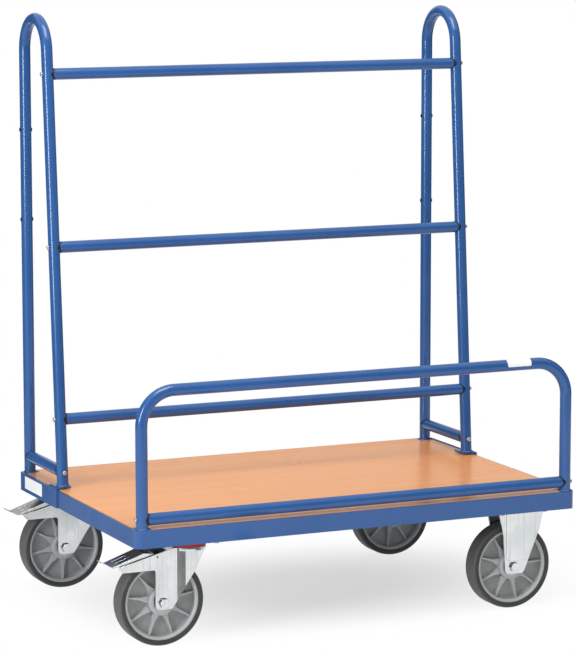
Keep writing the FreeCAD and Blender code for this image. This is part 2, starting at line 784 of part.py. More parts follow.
def cross_rail(label, offset, y, z, lean=None):
    neck_end = tube_radius + saddle_neck
    sleeves = [leg_sleeve(neck_end, middle + offset * side, y, z, lean) for side in (-1, 1)]
    straight_tube(label, offset * 2, middle - offset, y, z, "X", sleeves)
    saddle(middle - offset, y, z, "X", 1, lean)
    saddle(middle + offset, y, z, "X", -1, lean)


def spreader(label, side):
    x = middle + upright_offset * side
    z = spreader_height
    front = front_leg(z)
    neck_end = tube_radius + saddle_neck
    sleeves = [leg_sleeve(neck_end, x, front, z, upright_lean), leg_sleeve(neck_end, x, rear_leg, z)]
    straight_tube(label, rear_leg - front, x, front, z, "Y", sleeves)
    saddle(x, front, z, "Y", 1, upright_lean)
    saddle(x, rear_leg, z, "Y", -1)


def hole_plugs():
    plugs = []
    stem_length = tube_wall * 2
    for side in (-1, 1):
        for height in (lower_plug_height, upper_plug_height):
            for face in (-1, 1):
                axis_x = middle + upright_offset * side
                seat = tube_radius + seat_fit
                head_x = seat if face > 0 else -(seat + plug_head_height)
                stem_x = seat - stem_length if face > 0 else -seat
                head = cylinder("plug_head", plug_head_diameter / 2, plug_head_height,
                                axis_x + head_x, rear_leg, height, "X")
                stem = cylinder("plug_stem", plug_hole_diameter / 2 - saddle_clearance, stem_length,
                                axis_x + stem_x, rear_leg, height, "X")
                plugs.append(fuse("hole_plug", [head, stem]))
    return keep(group("hole_plugs", plugs))


# Castors

def plate_holes(sketch, plate_x):
    for step_x in (-1, 1):
        for step_y in (-1, 1):
            circle(sketch, plate_x + bolt_spacing_length * step_x / 2, bolt_spacing_width * step_y / 2,
                   (bolt_diameter + hole_clearance) / 2)


def castor_bolts():
    bolts = []
    for plate_x in (middle - castor_offset, middle + fixed_offset):
        for facing in (-1, 1):
            for step_x in (-1, 1):
                for step_y in (-1, 1):
                    x = plate_x + bolt_spacing_length * step_x / 2
                    y = wheel_offset * facing + bolt_spacing_width * step_y / 2
                    head = cylinder("castor_bolt_head", bolt_head_diameter / 2, bolt_head_height,
                                    x, y, ledge_bottom)
                    nut_bottom = plate_bottom - bolt_nut_height
                    shank_bottom = nut_bottom - bolt_tail
                    shank = cylinder("castor_bolt_shank", bolt_diameter / 2, ledge_bottom - shank_bottom,
                                     x, y, shank_bottom)
                    nut = hexagon("castor_bolt_nut", bolt_nut_width, bolt_nut_height, x, y, nut_bottom)
                    bolts.append(fuse("castor_bolt", [head, shank, nut]))
    return keep(group("castor_bolts", bolts))


def swivel_plate(name, x, y):
    """Top plate with the upper race under it."""
    body = new_body(f"{name}_top_plate")
    plan = new_sketch(body, "XY_Plane")
    rectangle(plan, -plate_length / 2, -plate_width / 2, plate_length / 2, plate_width / 2, plate_corner)
    pad(body, plan, plate_thickness)
    race = new_sketch(body, "XY_Plane")
    circle(race, 0, 0, race_diameter / 2)
    pad(body, race, race_height, reverse=True)
    holes = new_sketch(body, "XY_Plane")
    plate_holes(holes, 0)
    circle(holes, 0, 0, king_pin_diameter / 2 + seat_fit)
    pocket(body, holes)
    return keep(place(body, x, y, plate_bottom))


def dust_ring(name, x, y):
    body = new_body(f"{name}_dust_ring")
    section = new_sketch(body, "XZ_Plane")
    height = swivel_height - race_height - running_gap
    bore = dust_ring_bore / 2
    edge = dust_ring_diameter / 2
    slope = height / 3
    outline(section, [(bore, 0), (edge, 0), (edge, height - slope), (edge - slope, height), (bore, height)])
    revolve(body, section)
    return keep(place(body, x, y, head_top))


def king_pin(name, x, y):
    nut_top = head_top - fork_wall - running_gap
    low = nut_top - king_nut_height
    shank = cylinder(f"{name}_king_shank", king_pin_diameter / 2, castor_top - low, x, y, low)
    nut = hexagon(f"{name}_king_nut", king_nut_width, king_nut_height, x, y, low)
    return keep(fuse(f"{name}_king_pin", [shank, nut]))


def cross_hole(body, x, z, radius):
    hole = new_sketch(body, "XZ_Plane")
    circle(hole, x, z, radius)
    pocket(body, hole)


def swivel_fork(name, x, y):
    """Pressed fork about its swivel axis: trailing legs, a dished head and arms for the brake pedal."""
    body = new_body(f"{name}_fork")
    top = head_top - axle_height
    clear = wheel_diameter
    head = head_diameter / 2
    side_plate = new_sketch(body, "XZ_Plane")
    outline(side_plate, [
        (-castor_trail - fork_heel, -fork_drop, fork_rounding),
        (fork_toe - castor_trail, -fork_drop, fork_rounding),
        (fork_knee_reach - castor_trail, fork_knee_height, fork_rounding * 2),
        (fork_back_reach, top - head_skirt), (fork_back_reach, top), (-head, top, fork_rounding),
        (-castor_trail - arm_reach, arm_top_height, fork_rounding / 3),
        (fork_rounding - castor_trail - arm_reach, arm_under_height, fork_rounding / 3),
        (-castor_trail - fork_heel, arm_under_height, fork_rounding / 2),
    ])
    pad(body, side_plate, fork_width, centred=True)
    step_start = fork_step_reach - castor_trail
    step_end = step_start + fork_step_length
    wide = fork_width / 2
    narrow = fork_neck_width / 2
    for facing in (-1, 1):
        shaved = new_sketch(body, "XY_Plane")
        outline(shaved, [
            (step_start, wide * facing), (step_end, narrow * facing), (clear, narrow * facing),
            (clear, fork_width * facing), (step_start, fork_width * facing),
        ])
        pocket(body, shaved)
    hollow = new_sketch(body, "XY_Plane", top - fork_wall)
    inner_wide = wide - fork_wall
    inner_narrow = narrow - fork_wall
    outline(hollow, [
        (-clear, -inner_wide), (step_start, -inner_wide), (step_end, -inner_narrow), (clear, -inner_narrow),
        (clear, inner_narrow), (step_end, inner_narrow), (step_start, inner_wide), (-clear, inner_wide),
    ])
    pocket(body, hollow, clear)
    dish = new_sketch(body, "XZ_Plane")
    brim = head - fork_wall
    outline(dish, [
        (0, top - fork_wall), (brim, top - fork_wall), (brim, top - head_skirt), (head, top - head_skirt),
        (head, top, fork_wall), (0, top),
    ])
    revolve(body, dish)
    bore = new_sketch(body, "XY_Plane", top)
    circle(bore, 0, 0, king_pin_diameter / 2 + pin_fit)
    pocket(body, bore, fork_wall * 2, centred=True)
    cross_hole(body, -castor_trail, 0, axle_diameter / 2 + seat_fit)
    pin_hole = pedal_pin_diameter / 2 + seat_fit
    cross_hole(body, -castor_trail - pedal_pivot_reach, pedal_pivot_height, pin_hole)
    return keep(place(body, x, y, axle_height))


def fixed_fork(name, x, y):
    """Rigid fork about its axle, pressed in one with its top plate, with a raised panel down each leg."""
    body = new_body(f"{name}_fork")
    top = plate_bottom - axle_height
    inside = fork_width / 2 - fork_wall
    side_plate = new_sketch(body, "XZ_Plane")
    outline(side_plate, [
        (-fixed_heel, -fixed_drop, fork_rounding), (fixed_toe, -fixed_drop, fork_rounding),
        (fixed_knee_reach, fixed_knee_height, fork_rounding * 4), (fixed_top_rear, top),
        (-fixed_top_front, top), (-fixed_waist_reach, fixed_waist_height, fork_rounding * 8),
    ])
    pad(body, side_plate, fork_width, centred=True)
    raised = new_sketch(body, "XZ_Plane")
    slant = (fixed_knee_reach - fixed_toe) / (fixed_knee_height + fixed_drop)
    panel_toe = fixed_toe + slant * (fixed_panel_height + fixed_drop) - fixed_panel_inset
    outline(raised, [
        (-fixed_panel_edge, fixed_panel_height, fork_rounding),
        (panel_toe, fixed_panel_height, fork_rounding),
        (fixed_knee_reach - fixed_panel_inset, fixed_knee_height),
        (fixed_top_rear - fixed_panel_inset, top), (-fixed_panel_edge, top),
    ])
    pad(body, raised, fork_width + fixed_panel_rise * 2, centred=True)
    hollow = new_sketch(body, "YZ_Plane")
    rectangle(hollow, -inside, -wheel_diameter, inside, top)
    pocket(body, hollow)
    plate = new_sketch(body, "XY_Plane", top)
    low_x = fixed_trail - plate_length / 2
    high_x = fixed_trail + plate_length / 2
    rectangle(plate, low_x, -plate_width / 2, high_x, plate_width / 2, plate_corner)
    pad(body, plate, plate_thickness)
    holes = new_sketch(body, "XY_Plane", top)
    plate_holes(holes, fixed_trail)
    pocket(body, holes, plate_thickness, reverse=True)
    cross_hole(body, 0, 0, axle_diameter / 2 + seat_fit)
    return keep(place(body, x, y, axle_height))


def axle(name, x, y):
    half = fork_width / 2
    shank = cylinder(f"{name}_axle_shank", axle_diameter / 2, fork_width + axle_head_height * 2,
                     x, y - half - axle_head_height, axle_height, "Y")
    head = hexagon(f"{name}_axle_head", axle_head_width, axle_head_height,
                   x, y - half - axle_head_height, axle_height, "Y")
    nut = hexagon(f"{name}_axle_nut", axle_head_width, axle_head_height, x, y + half, axle_height, "Y")
    return keep(fuse(f"{name}_axle", [shank, head, nut]))


def rim(name, x, y):
    """Moulded wheel centre: hub, thin web, tapered ribs and the band that carries the tyre."""
    body = new_body(f"{name}_rim")
    section = new_sketch(body, "XY_Plane")
    bore = bearing_diameter / 2 + seat_fit
    hub = hub_diameter / 2
    band = wheel_diameter / 2 - tyre_thickness
    inner_band = band - rim_wall
    half_web = web_thickness / 2
    half_hub = hub_width / 2
    half_rim = rim_width / 2
    lip = rim_wall / 2
    outline(section, [
        (bore, -half_hub), (hub, -half_hub, lip), (hub, -half_web, lip), (inner_band, -half_web, lip),
        (inner_band, lip - half_rim), (inner_band + lip, -half_rim), (band, -half_rim),
        (band, half_rim), (inner_band + lip, half_rim), (inner_band, half_rim - lip),
        (inner_band, half_web, lip), (hub, half_web, lip), (hub, half_hub, lip), (bore, half_hub),
    ])
    revolve(body, section)
    spoke = new_sketch(body, "XZ_Plane")
    root = hub - lip
    tip = inner_band + lip
    outline(spoke, [
        (-rib_root_width / 2, root), (rib_root_width / 2, root),
        (rib_waist_width / 2, rib_waist_reach, rib_flare),
        (rib_tip_width / 2, tip), (-rib_tip_width / 2, tip),
        (-rib_waist_width / 2, rib_waist_reach, rib_flare),
    ])
    height = half_web + rib_height
    front_rib = pad(body, spoke, height, draft=rib_draft)
    back_rib = pad(body, spoke, height, reverse=True, draft=rib_draft)
    polar(body, [front_rib, back_rib], rib_count, "Y_Axis")
    turn = Rotation(Vector(0, -1, 0), PARKED_TURN[name])
    return keep(place(body, x, y, axle_height, turn))


def tyre(name, x, y):
    body = new_body(f"{name}_tyre")
    section = new_sketch(body, "XY_Plane")
    inside = wheel_diameter / 2 - tyre_thickness
    outside = wheel_diameter / 2
    half = tyre_width / 2
    outline(section, [
        (inside, -half, tyre_heel), (outside, -half, tyre_shoulder),
        (outside, half, tyre_shoulder), (inside, half, tyre_heel),
    ])
    revolve(body, section)
    return keep(place(body, x, y, axle_height))


def bearings(name, x, y):
    """Two sealed bearings, each with a spacer collar out to the fork."""
    pieces = []
    bore = axle_diameter / 2 + pin_fit
    collar = axle_diameter
    half_hub = hub_width / 2
    inner_face = fork_width / 2 - fork_wall - running_gap
    for facing in (-1, 1):
        body = new_body(f"{name}_bearing")
        section = new_sketch(body, "XY_Plane")
        outline(section, [
            (bore, half_hub - bearing_width), (bearing_diameter / 2, half_hub - bearing_width),
            (bearing_diameter / 2, half_hub), (collar, half_hub), (collar, inner_face), (bore, inner_face),
        ])
        revolve(body, section)
        turn = Rotation() if facing > 0 else Rotation(Vector(0, 0, 1), 180)
        pieces.append(place(body, x, y, axle_height, turn))
    return keep(group(f"{name}_bearings", pieces))


def pedal(name, x, y):
    """Pressed brake pedal: two flanges on the pivot pin, a sloping tread and a turned-up tab."""
    body = new_body(f"{name}_brake_pedal")
    width = fork_width - fork_wall * 2 - pedal_side_gap * 2
    tab_top = pedal_bend_height + pedal_tab_rise
    side_plate = new_sketch(body, "XZ_Plane")
    outline(side_plate, [
        (pedal_ear - pedal_pivot_reach, pedal_pivot_height + pedal_ear, pedal_ear / 2),
        (-pedal_top_reach, pedal_top_height, pedal_ear / 2),
        (-pedal_bend_reach, pedal_bend_height, pedal_wall),
        (-pedal_reach, tab_top), (-pedal_reach, tab_top - pedal_wall),
        (-pedal_bend_reach, pedal_bend_height - pedal_wall, pedal_wall * 2),
        (-pedal_top_reach, pedal_top_height - pedal_flange, pedal_ear / 2),
        (pedal_ear - pedal_pivot_reach, pedal_pivot_height - pedal_ear, pedal_ear / 2),
    ])
    pad(body, side_plate, width, centred=True)
    hollow = new_sketch(body, "XZ_Plane")
    clear = wheel_diameter
    outline(hollow, [
        (clear, clear), (-pedal_top_reach, clear),
        (-pedal_top_reach, pedal_top_height - pedal_wall),
        (-pedal_bend_reach, pedal_bend_height - pedal_wall), (-pedal_bend_reach, 0), (clear, 0),
    ])
    pocket(body, hollow, width - pedal_wall * 2, centred=True)
    tab_root = -pedal_bend_reach - pedal_wall
    for facing in (-1, 1):
        trimmed = new_sketch(body, "XY_Plane")
        outline(trimmed, [
            (-clear, pedal_tab_width / 2 * facing), (tab_root, pedal_tab_width / 2 * facing),
            (tab_root, width * facing), (-clear, width * facing),
        ])
        pocket(body, trimmed)
        slot = new_sketch(body, "XY_Plane")
        slot_start = pedal_slot_width * 2 - pedal_bend_reach
        slot_y = pedal_slot_offset * facing
        rectangle(slot, slot_start, slot_y - pedal_slot_width / 2, slot_start + pedal_slot_length,
                  slot_y + pedal_slot_width / 2, pedal_slot_width / 3)
        pocket(body, slot)
    cross_hole(body, -pedal_pivot_reach, pedal_pivot_height, pedal_pin_diameter / 2 + pin_fit)
    return keep(place(body, x, y, axle_height))


def brake_shoe(name, x, y):
    """Rubber block under the tread, hollowed to the tyre as it meets it at full travel."""
    body = new_body(f"{name}_brake_shoe")
    slope = (pedal_top_height - pedal_bend_height) / (pedal_bend_reach - pedal_top_reach)

    def under_tread(reach):
        return pedal_top_height - pedal_wall - slope * (reach - pedal_top_reach)

    block = new_sketch(body, "XZ_Plane")
    outline(block, [
        (-shoe_inner_reach, shoe_inner_height), (-shoe_inner_reach, under_tread(shoe_inner_reach)),
        (-shoe_outer_reach, under_tread(shoe_outer_reach)), (-shoe_outer_reach, shoe_outer_height),
    ])
    pad(body, block, shoe_width, centred=True)
    hollow_x = pedal_pivot_reach * (cosine(pedal_travel) - 1) - pedal_pivot_height * sine(pedal_travel)
    hollow_z = pedal_pivot_height * (1 - cosine(pedal_travel)) - pedal_pivot_reach * sine(pedal_travel)
    cross_hole(body, hollow_x, hollow_z, wheel_diameter / 2 + shoe_gap)
    return keep(place(body, x, y, axle_height))


def pedal_pin(name, x, y):
    """Tubular pin, flush with the fork's outer faces."""
    end = (x - pedal_pivot_reach, y - fork_width / 2, axle_height + pedal_pivot_height, "Y")
    outside = cylinder(f"{name}_pin_outside", pedal_pin_diameter / 2, fork_width, *end)
    bore = cylinder(f"{name}_pin_bore", pedal_pin_bore / 2, fork_width, *end)
    return keep(cut(f"{name}_pedal_pin", outside, bore))


def wheel_set(name, x, y):
    axle(name, x, y)
    rim(name, x, y)
    tyre(name, x, y)
    bearings(name, x, y)


def swivel_castor(name, facing):
    swivel_x = middle - castor_offset
    wheel_x = swivel_x - castor_trail
    y = wheel_offset * facing
    swivel_plate(name, swivel_x, y)
    dust_ring(name, swivel_x, y)
    king_pin(name, swivel_x, y)
    swivel_fork(name, swivel_x, y)
    wheel_set(name, wheel_x, y)
    pedal(name, wheel_x, y)
    brake_shoe(name, wheel_x, y)
    pedal_pin(name, wheel_x, y)


def fixed_castor(name, facing):
    x = middle + fixed_offset - fixed_trail
    y = wheel_offset * facing
    fixed_fork(name, x, y)
    wheel_set(name, x, y)


# The whole trolley

end_rail_long("front_rail", -1)
end_rail_long("rear_rail", 1)
side_rail("left_rail", -1)
side_rail("right_rail", 1)
castor_bearer("left_bearer", middle - castor_offset)
castor_bearer("right_bearer", middle + fixed_offset)
middle_bearer()
deck_board()
deck_screws()
castor_bolts()
for side_name, side_sign in (("left", -1), ("right", 1)):
    upright(f"{side_name}_upright", side_sign)
    foot_bracket(f"{side_name}_foot_bracket", side_sign)
    spreader(f"{side_name}_spreader", side_sign)
for step, rail_name in enumerate(("top_cross_rail", "middle_cross_rail", "lower_cross_rail")):
    rail_z = top_rail_height - cross_rail_spacing * step
    cross_rail(rail_name, upright_offset, front_leg(rail_z), rail_z, upright_lean)
front_hoop()
cross_rail("hoop_lower_rail", hoop_offset, hoop_front, hoop_rail_height)
keep(group("rail_saddles", saddles))
keep(group("rail_screws", rail_screws))
hole_plugs()
for castor_name, castor_facing in (("front_left", -1), ("rear_left", 1)):
    swivel_castor(castor_name, castor_facing)
for castor_name, castor_facing in (("front_right", -1), ("rear_right", 1)):
    fixed_castor(castor_name, castor_facing)

doc.recompute()

for item in doc.Objects:
    if "Invalid" in item.State or "Error" in item.State:
        raise RuntimeError(f"{item.Label} did not compute: {item.State}")
for item in nodes:
    if item.Shape.isNull() or not item.Shape.isValid():
        raise RuntimeError(f"{item.Label} has no valid shape")

os.makedirs("parts", exist_ok=True)
for item in nodes:
    item.Shape.exportStep(f"parts/{item.Label}.step")
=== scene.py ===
import json
import math

import bmesh
import bpy
from mathutils import Matrix, Vector


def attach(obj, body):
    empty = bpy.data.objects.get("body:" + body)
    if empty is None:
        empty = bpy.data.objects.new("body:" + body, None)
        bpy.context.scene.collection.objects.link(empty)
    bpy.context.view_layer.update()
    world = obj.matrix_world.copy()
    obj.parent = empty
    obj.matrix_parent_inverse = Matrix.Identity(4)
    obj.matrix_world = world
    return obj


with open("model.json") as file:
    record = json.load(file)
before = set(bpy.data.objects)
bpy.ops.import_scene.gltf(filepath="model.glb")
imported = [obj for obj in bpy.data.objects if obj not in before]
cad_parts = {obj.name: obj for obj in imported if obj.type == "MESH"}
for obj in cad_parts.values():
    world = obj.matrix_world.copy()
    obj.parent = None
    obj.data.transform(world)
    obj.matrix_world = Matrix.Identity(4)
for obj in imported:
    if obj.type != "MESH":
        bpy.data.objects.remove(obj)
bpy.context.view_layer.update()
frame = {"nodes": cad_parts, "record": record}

nodes = frame["nodes"]
scene = bpy.context.scene

# Sizes shared with the solids, in metres
TUBE_RADIUS = 0.0135
RAIL_TOP = 0.2745
TAB_TOP = 0.282
UPRIGHT_X = (-0.5008, 0.5588)
REAR_LEG_Y = 0.362
FRONT_FOOT_Y = 0.1332
HOOP_X = (-0.499, 0.557)
HOOP_Y = -0.3672
HOOP_TOP_Z = 0.579
BRACKET_FACE_X = -0.523
SPREADER_FRONT = 0.1185
SPREADER_BACK = 0.3788
SPREADER_HEIGHT = 0.3145
RAIL_SCREW_ENDS = [(x, y, z) for x in (-0.5176, 0.5756)
                   for y, z in ((0.2042, 1.2375), (0.1745, 0.8375), (0.1448, 0.4375))]
RAIL_SCREW_ENDS += [(x, HOOP_Y, 0.2955) for x in (-0.5158, 0.5738)]
WHEEL_PLANE_MIDDLE = -0.0025
WHEEL_PLANE_OFFSET = 0.4385
AXLE_HEIGHT = 0.1
WHEEL_MIDDLE_Y = 0.315
DECK_TOP = 0.2755

# Where a finish changes on the wheels and the deck, and where the painted highlight on the tops of the
# wheels' ribs starts and ends
RIM_BAND_RADII = (0.076, 0.080)
TREAD_WEAR_RADII = (0.094, 0.0995)
RIB_ROOT = 0.0055
RIB_CREST = 0.0125
LAMINATE_BOTTOM = DECK_TOP - 0.0006
BACKING_TOP = DECK_TOP - 0.0014

# Turned rings on the bearings and the tyres, in radians of the ripple per metre of radius
BEARING_RING_RATE = 9000.0
TYRE_RING_RATE = 2600.0

# Sizes of the pieces that this script adds
SHARPEST_SMOOTH_ANGLE = math.radians(40.0)
# A screw button's outline as (radius, height) points, from the bottom of its socket to its rim
SCREW_OUTLINE = [(0.0, 0.0001), (0.0016, 0.0001), (0.0018, 0.0011), (0.0022, 0.0014), (0.0032, 0.0012),
                 (0.0041, 0.0007), (0.0046, 0.0)]
SCREW_STEPS = 24
WELD_STEPS = 96
WELD_RIPPLES = 22
WELD_WAVE = 0.15
WELD_REACH = 0.0028
WELD_SINK = 0.0006
WELD_HEIGHT = 0.0034
# The bead's outer face as (share of its reach, height) points, from its top to its foot
WELD_FACE = [(0.25, 0.0032), (0.7, 0.0020), (1.0, 0.0004), (1.0, 0.0)]
LABEL_THICKNESS = 0.0003
LABEL_GLUE = 0.0001
BRACKET_LABEL_SIZE = (0.119, 0.0295)
BRACKET_LABEL_CORNER = 0.0015
BRACKET_LABEL_BACK = 0.336
BRACKET_LABEL_BOTTOM = 0.2415
HOOP_LABEL_LENGTH = 0.061
HOOP_LABEL_LEFT = 0.398
HOOP_LABEL_CORNER = 0.004
HOOP_LABEL_WRAP = math.radians(130.0)
HOOP_LABEL_START = math.radians(100.0)
HOOP_LABEL_STRIPS = 16

# The photograph's camera
CAMERA_AZIMUTH = math.radians(-24.513)
CAMERA_ELEVATION = math.radians(8.218)
CAMERA_TARGET = Vector((-0.03809, -0.23681, 0.68008))
CAMERA_DISTANCE = 7.0


# Shader tools

class Value:
    """A number that varies over a surface; a sum written with it becomes Math nodes."""

    def __init__(self, finish, socket):
        self.finish = finish
        self.socket = socket

    def __add__(self, other):
        return self.finish.math("ADD", self, other)

    def __sub__(self, other):
        return self.finish.math("SUBTRACT", self, other)

    def __rsub__(self, other):
        return self.finish.math("SUBTRACT", other, self)

    def __mul__(self, other):
        return self.finish.math("MULTIPLY", self, other)

    __radd__ = __add__
    __rmul__ = __mul__


class Nodes:
    """A node tree that is filled node by node."""

    def __init__(self, tree):
        self.tree = tree
        self.tree.nodes.clear()

    def node(self, kind, settings=None, sockets=None):
        """Add a node: its settings first, then a value or a link for each named socket."""
        made = self.tree.nodes.new(kind)
        for key, setting in (settings or {}).items():
            setattr(made, key, setting)
        for key, entry in (sockets or {}).items():
            target = next(s for s in made.inputs if key in (s.identifier, s.name))
            if isinstance(entry, Value):
                entry = entry.socket
            if isinstance(entry, bpy.types.NodeSocket):
                self.tree.links.new(entry, target)
            else:
                target.default_value = entry
        return made

    def value(self, made, output):
        return Value(self, made.outputs[output])

    def vector_math(self, operation, *vectors):
        sockets = dict(zip(("Vector", "Vector_001"), vectors))
        return self.node("ShaderNodeVectorMath", {"operation": operation}, sockets)

    def axis(self, vector, letter):
        """One of a vector's three numbers."""
        return self.value(self.node("ShaderNodeSeparateXYZ", None, {"Vector": vector}), letter)

    def math(self, operation, first, second=0.0):
        sockets = {"Value": first, "Value_001": second}
        return self.value(self.node("ShaderNodeMath", {"operation": operation}, sockets), "Value")

    def ramp(self, number, low, high, start=0.0, end=1.0):
        """Smooth step of a number from start to end as it goes from low to high."""
        sockets = {"Value": number, "From Min": low, "From Max": high, "To Min": start, "To Max": end}
        made = self.node("ShaderNodeMapRange", {"interpolation_type": "SMOOTHSTEP"}, sockets)
        return self.value(made, "Result")

    def white_to_view(self):
        """1 for a ray that looks at the surroundings, directly, in a reflection or through glass."""
        rays = self.node("ShaderNodeLightPath")
        seen = self.value(rays, "Is Camera Ray") + self.value(rays, "Is Glossy Ray")
        return self.math("MINIMUM", seen + self.value(rays, "Is Transmission Ray"), 1.0)

    def mixed(self, factor, first, second):
        return self.node("ShaderNodeMixShader", None, {
            "Fac": factor, "Shader": first.outputs[0], "Shader_001": second.outputs[0]})


class Finish(Nodes):
    """One material and the nodes that make it."""

    def __init__(self, name):
        self.material = bpy.data.materials.new(name)
        self.material.use_nodes = True
        super().__init__(self.material.node_tree)

    def place(self, scale=(1, 1, 1), location=(0, 0, 0)):
        """Object coordinates, stretched by scale and moved."""
        source = self.node("ShaderNodeTexCoord").outputs["Object"]
        sockets = {"Vector": source, "Scale": scale, "Location": location}
        return self.node("ShaderNodeMapping", None, sockets).outputs["Vector"]

    def noise(self, vector, scale, detail=2.0, roughness=0.5, distortion=0.0):
        sockets = {"Vector": vector, "Scale": scale, "Detail": detail, "Roughness": roughness,
                   "Distortion": distortion}
        return self.value(self.node("ShaderNodeTexNoise", None, sockets), "Fac")

    def blend(self, factor, first, second):
        """Colour that goes from the first to the second as the factor goes from 0 to 1."""
        sockets = {"Factor_Float": factor, "A_Color": first, "B_Color": second}
        made = self.node("ShaderNodeMix", {"data_type": "RGBA"}, sockets)
        return next(socket for socket in made.outputs if socket.identifier == "Result_Color")

    def blend_vectors(self, factor, first, second):
        sockets = {"Factor_Float": factor, "A_Vector": first, "B_Vector": second}
        made = self.node("ShaderNodeMix", {"data_type": "VECTOR"}, sockets)
        return next(socket for socket in made.outputs if socket.identifier == "Result_Vector")

    def soft_edges(self, radius):
        """Normal that rounds the edges and is left alone elsewhere, and a mask of where the edges are."""
        bevelled = self.node("ShaderNodeBevel", {"samples": 4}, {"Radius": radius}).outputs["Normal"]
        plain = self.node("ShaderNodeNewGeometry").outputs["Normal"]
        cosine = self.value(self.vector_math("DOT_PRODUCT", bevelled, plain), "Value")
        edge = self.ramp(1.0 - cosine, 0.01, 0.22)
        softened = self.blend_vectors(edge, plain, bevelled)
        return self.vector_math("NORMALIZE", softened).outputs["Vector"], edge

    def painted_corner_shade(self, reach):
        """Mask of the corners where shade falls, used to paint shade into a colour."""
        open_sky = self.node("ShaderNodeAmbientOcclusion", {"samples": 6}, {"Distance": reach})
        return self.ramp(self.value(open_sky, "AO"), 0.45, 0.85, start=1.0, end=0.0)

    def bump(self, height, distance, normal=None, strength=1.0):
        sockets = {"Height": height, "Distance": distance, "Strength": strength}
        if normal is not None:
            sockets["Normal"] = normal
        return self.node("ShaderNodeBump", None, sockets).outputs["Normal"]

    def surface(self, **sockets):
        """Finish with a Principled surface; a socket's spaces are written as underscores."""
        named = {key.replace("_", " "): entry for key, entry in sockets.items()}
        shader = self.node("ShaderNodeBsdfPrincipled", None, named)
        self.node("ShaderNodeOutputMaterial", None, {"Surface": shader.outputs["BSDF"]})
        return self.material


def shade(red, green, blue):
    return (red, green, blue, 1.0)


# Finishes

def blue_powder_coat():
    finish = Finish("blue_powder_coat")
    space = finish.place()
    rounded, edge = finish.soft_edges(0.0014)
    cloud = finish.noise(space, 5.0, 3.0, 0.6)
    peel = finish.noise(space, 620.0, 2.0, 0.45)
    dust = finish.noise(space, 90.0, 4.0, 0.65)
    body = finish.blend(finish.ramp(cloud, 0.3, 0.7), shade(0.022, 0.086, 0.260), shade(0.027, 0.096, 0.288))
    specked = finish.blend(finish.ramp(dust, 0.62, 0.78, end=0.10), body, shade(0.06, 0.14, 0.335))
    # Paler blue on the edges: partly a thinner coat, partly a painted highlight.
    coat_with_painted_edge_highlight = finish.blend(edge * 0.30, specked, shade(0.052, 0.14, 0.37))
    return finish.surface(
        Base_Color=coat_with_painted_edge_highlight, Roughness=0.12 + 0.05 * dust, Specular_IOR_Level=0.5,
        Normal=finish.bump(peel, 0.00003, rounded, strength=0.08))


def beech_laminate():
    finish = Finish("beech_laminate")
    bands = finish.noise(finish.place((0.9, 15.0, 15.0)), 2.2, 3.0, 0.55, 0.6)
    grain = finish.noise(finish.place((5.0, 260.0, 260.0)), 1.0, 4.0, 0.6, 0.3)
    pores = finish.noise(finish.place((70.0, 900.0, 900.0)), 1.0, 2.0, 0.5)
    scuff = finish.noise(finish.place((3.0, 3.0, 3.0)), 2.0, 5.0, 0.7)
    board = finish.blend(finish.ramp(bands, 0.3, 0.7), shade(0.80, 0.315, 0.086), shade(0.84, 0.350, 0.109))
    lined = finish.blend(finish.ramp(grain, 0.45, 0.75, end=0.45), board, shade(0.71, 0.252, 0.062))
    flecked = finish.blend(finish.ramp(pores, 0.66, 0.74, end=0.40), lined, shade(0.45, 0.16, 0.055))
    core = finish.blend(scuff, shade(0.10, 0.085, 0.075), shade(0.19, 0.165, 0.145))
    below = finish.ramp(finish.axis(finish.place(), "Z"), BACKING_TOP, LAMINATE_BOTTOM, start=1.0, end=0.0)
    backed = finish.blend(below, flecked, core)
    height = 0.6 * grain + 0.4 * pores
    return finish.surface(
        Base_Color=backed, Roughness=0.21 + 0.10 * scuff, Specular_IOR_Level=0.3,
        Normal=finish.bump(height, 0.00006, strength=0.3))


def bright_zinc(name, painted_dark_top=0.0):
    """Zinc plate with painted shade in its corners; a non-zero tread darkens the faces that look up with a
    painted dark reflection.
    """
    finish = Finish(name)
    rounded, edge = finish.soft_edges(0.0010)
    space = finish.place()
    spangle = finish.noise(space, 38.0, 4.0, 0.62, 0.5)
    rolling = finish.noise(finish.place((170.0, 170.0, 6.0)), 1.0, 4.0, 0.65)
    cloud = finish.noise(space, 14.0, 3.0, 0.55)
    plate = finish.blend(finish.ramp(cloud, 0.3, 0.7), shade(0.68, 0.715, 0.725), shade(0.82, 0.84, 0.835))
    streaked = finish.blend(finish.ramp(rolling, 0.45, 0.75, end=0.5), plate, shade(0.50, 0.53, 0.55))
    bare = finish.blend(edge * 0.6, streaked, shade(0.85, 0.87, 0.87))
    # Painted shade: the zinc is darkened in its corners, where the ambient occlusion finds them.
    zinc_with_painted_shade = finish.blend(finish.painted_corner_shade(0.004) * 0.8, bare, shade(0.10, 0.10, 0.10))
    if painted_dark_top:
        # Painted dark reflection: the faces that look up are darkened.
        upward = finish.axis(finish.node("ShaderNodeNewGeometry").outputs["Normal"], "Z")
        painted_dark_top_mask = finish.ramp(upward, 0.55, 0.85) * (0.5 + 0.5 * cloud) * painted_dark_top
        zinc_with_painted_shade = finish.blend(painted_dark_top_mask, zinc_with_painted_shade, shade(0.08, 0.085, 0.09))
    return finish.surface(
        Base_Color=zinc_with_painted_shade, Metallic=0.95, Roughness=0.12 + 0.14 * spangle,
        Normal=finish.bump(0.5 * spangle + 0.5 * rolling, 0.00006, rounded, strength=0.3))


